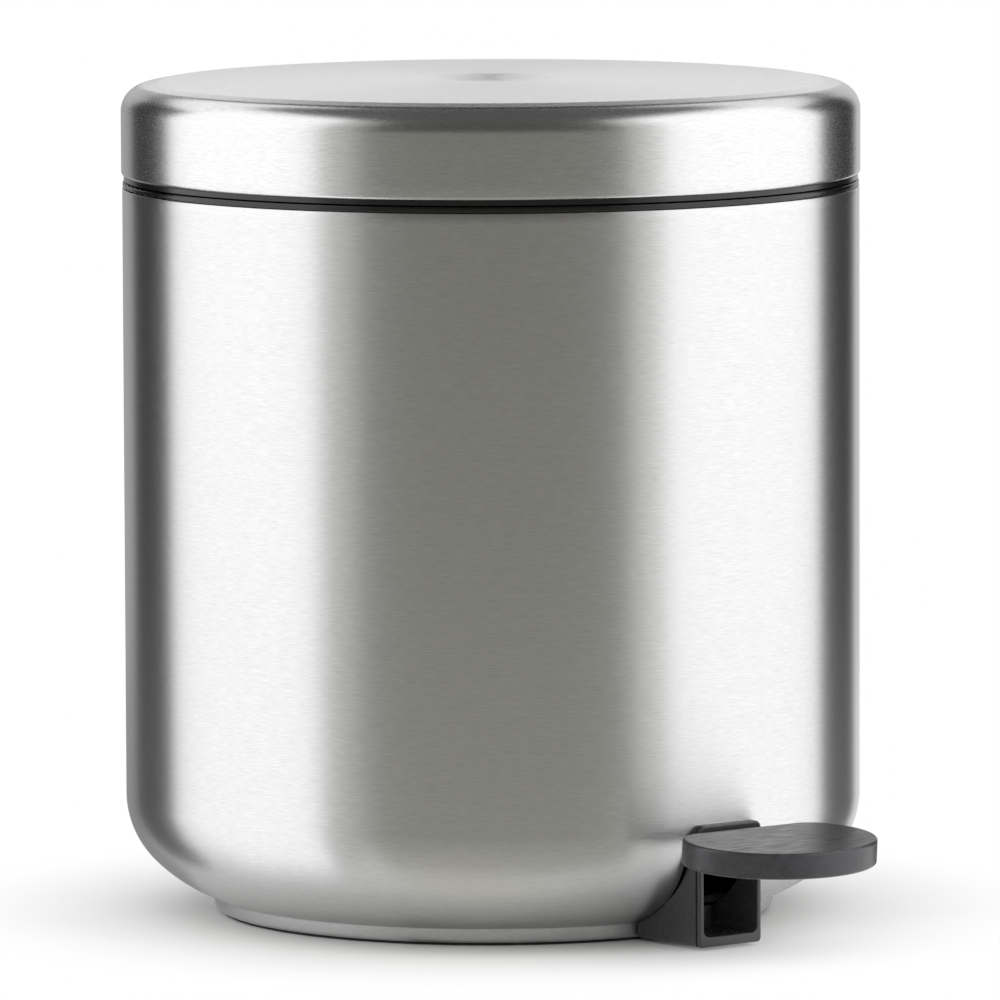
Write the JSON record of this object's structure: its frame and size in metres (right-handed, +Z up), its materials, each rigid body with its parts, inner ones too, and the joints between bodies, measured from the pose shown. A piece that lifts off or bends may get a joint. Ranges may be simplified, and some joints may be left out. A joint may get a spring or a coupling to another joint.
{
  "type": "pedal trash can",
  "caption": "Round brushed-steel pedal trash can: rounded bottom, hinged lid, dark foot pedal at the front, inner bucket with a wire bail, and a lever and push rod that open the lid.",
  "frame": {"origin": "centre of the floor ring on the floor, on the can's axis", "axes": "+Z up along the can's axis; the pedal points to -Y and the lid's hinge is at +Y"},
  "size_m": [0.2004, 0.2525, 0.227],
  "materials": {
    "brushed_steel": "stainless sheet brushed round the can",
    "black_plastic": "moulded black plastic, finely textured",
    "pad_plastic": "moulded dark grey plastic, satin",
    "bucket_plastic": "moulded dark grey plastic",
    "nylon": "natural nylon",
    "zinc_steel": "bright zinc-plated steel",
    "bail_wire": "plated wire",
    "rubber": "black rubber"
  },
  "bodies": {
    "body": {"body_shell": "brushed_steel", "rim_ring": "black_plastic", "hinge_block": "black_plastic", "hinge_screws": "zinc_steel", "hinge_pin": "zinc_steel", "base_plate": "black_plastic", "floor_ring": "rubber", "base_screws": "zinc_steel", "pivot_pin": "zinc_steel", "pivot_clips": "zinc_steel", "pedal_housing": "black_plastic", "housing_screws": "zinc_steel", "rod_guides": "nylon"},
    "lid": {"lid_shell": "brushed_steel", "lid_ring": "black_plastic", "lid_arm": "black_plastic", "arm_screws": "zinc_steel", "crank_pin": "zinc_steel", "lid_bumpers": "rubber"},
    "pedal": {"pedal_lever": "zinc_steel", "pedal_pad": "pad_plastic", "pad_screws": "zinc_steel", "pivot_bushes": "nylon"},
    "rod": {"push_rod": "zinc_steel", "rod_foot": "nylon", "rod_head": "nylon"},
    "bucket": {"inner_bucket": "bucket_plastic"},
    "bail": {"bucket_handle": "bail_wire"}
  },
  "joints": [
    {"name": "lid_hinge", "type": "hinge", "parent": "body", "child": "lid", "pos_m": [0, 0.1038, 0.19955], "axis": [-1, 0, 0], "range_deg": [0, 74]},
    {"name": "pedal_pivot", "type": "hinge", "parent": "body", "child": "pedal", "pos_m": [0, -0.024, 0.0115], "axis": [1, 0, 0], "range_deg": [0, 8.77]},
    {"name": "rod_slide", "type": "slide", "parent": "body", "child": "rod", "axis": [0, 0, 1], "range_m": [0, 0.01785]},
    {"name": "bucket_lift", "type": "slide", "parent": "body", "child": "bucket", "axis": [0, 0, 1], "range_m": [0, 0.004]},
    {"name": "bail_swing", "type": "hinge", "parent": "bucket", "child": "bail", "pos_m": [0, 0, 0.1922], "axis": [-1, 0, 0], "range_deg": [0, 12]}
  ],
  "couplings": [
    {"joint": "pedal_pivot", "follows": "lid_hinge", "ratio": 0.1184},
    {"joint": "rod_slide", "follows": "lid_hinge", "m_per_rad": 0.013793}
  ]
}
